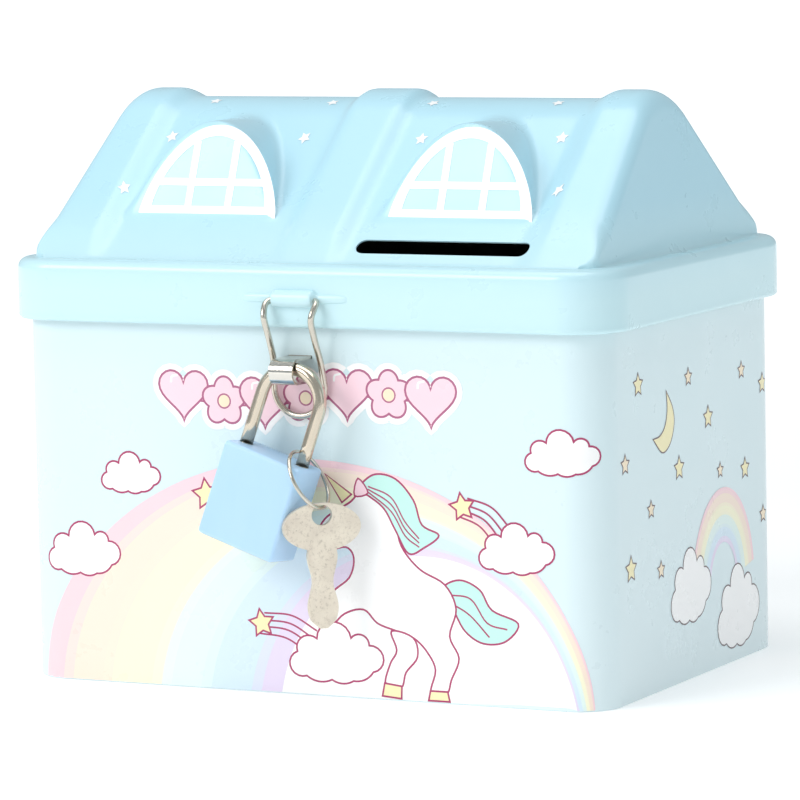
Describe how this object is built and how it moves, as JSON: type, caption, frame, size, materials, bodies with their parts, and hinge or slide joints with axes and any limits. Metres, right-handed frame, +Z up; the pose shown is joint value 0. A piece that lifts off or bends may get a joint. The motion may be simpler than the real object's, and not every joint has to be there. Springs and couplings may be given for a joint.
{
  "type": "tin money box",
  "caption": "House-shaped tin money box: printed body, hinged roof lid with a coin slot, wire hasp over a staple, and a small hanging padlock with its key.",
  "frame": {"origin": "centre of the underside, on the surface that the box stands on", "axes": "+Z up; +X to the right along the ridge; -Y towards the front, where the hasp and padlock hang"},
  "size_m": [0.125, 0.1034, 0.1094],
  "materials": {
    "printed_tin": "lithographed tinplate under a satin-gloss clear coat: pale blue sky with a rainbow, clouds and stars",
    "blue_tin": "satin-gloss light blue lacquer on stamped tinplate, with white windows and stars",
    "plain_tin": "bare tinplate, slightly mottled",
    "nickel_strip": "bright nickel-plated strip",
    "steel_wire": "nickel-plated drawn wire",
    "shackle_steel": "nickel-plated steel with a warm tint",
    "jacket_plastic": "satin sky-blue moulded plastic",
    "core_metal": "plain die-cast zinc",
    "spring_wire": "bright spring wire",
    "brass_plug": "turned brass",
    "key_metal": "sand-blasted nickel with a champagne tint"
  },
  "bodies": {
    "box": {"body_wall": "printed_tin", "floor_panel": "plain_tin", "hinge_leaf": "nickel_strip", "hinge_pin": "steel_wire", "staple": "nickel_strip"},
    "lid": {"lid_shell": "blue_tin"},
    "hasp": {"hasp_wire": "steel_wire"},
    "shackle": {"shackle": "shackle_steel"},
    "lock_case": {"lock_jacket": "jacket_plastic", "lock_core": "core_metal", "lock_base": "core_metal", "case_rivets": "core_metal", "heel_pin": "steel_wire", "shackle_spring": "spring_wire"},
    "plug": {"lock_plug": "brass_plug", "plug_wafers": "brass_plug"},
    "latch": {"latch": "core_metal", "latch_spring": "spring_wire"},
    "ring": {"key_ring": "steel_wire"},
    "key": {"key": "key_metal"}
  },
  "joints": [
    {"name": "lid_hinge", "type": "hinge", "parent": "box", "child": "lid", "pos_m": [0, 0.0462, 0.0686], "axis": [-1, 0, 0], "range_deg": [0, 105]},
    {"name": "hasp_swing", "type": "hinge", "parent": "lid", "child": "hasp", "pos_m": [0, -0.0449, 0.0734], "axis": [-1, 0, 0], "range_deg": [0, 6]},
    {"name": "padlock_swing", "type": "hinge", "parent": "box", "child": "shackle", "pos_m": [0.001, -0.04815, 0.05503], "axis": [0.0347, 0.9948, -0.0958], "range_deg": [-45, 20]},
    {"name": "shackle_release", "type": "slide", "parent": "shackle", "child": "lock_case", "axis": [-0.312, -0.0803, -0.9467], "range_m": [0, 0.0052], "deforming": ["shackle_spring"]},
    {"name": "plug_turn", "type": "hinge", "parent": "lock_case", "child": "plug", "pos_m": [-0.00586, -0.04992, 0.0342], "axis": [0.312, 0.0803, 0.9467], "range_deg": [-90, 0]},
    {"name": "latch_slide", "type": "slide", "parent": "lock_case", "child": "latch", "axis": [-0.9494, 0.0628, 0.3076], "range_m": [0, 0.0009]},
    {"name": "ring_swing", "type": "hinge", "parent": "shackle", "child": "ring", "pos_m": [0.00257, -0.04905, 0.04624], "axis": [-0.0347, -0.9948, 0.0958], "range_deg": [0, 35]},
    {"name": "key_swing", "type": "hinge", "parent": "ring", "child": "key", "pos_m": [0.00788, -0.0502, 0.03622], "axis": [0.0347, 0.9948, -0.0958], "range_deg": [-30, 0]}
  ],
  "couplings": [
    {"joint": "latch_slide", "follows": "plug_turn", "m_per_rad": -0.00057296}
  ]
}
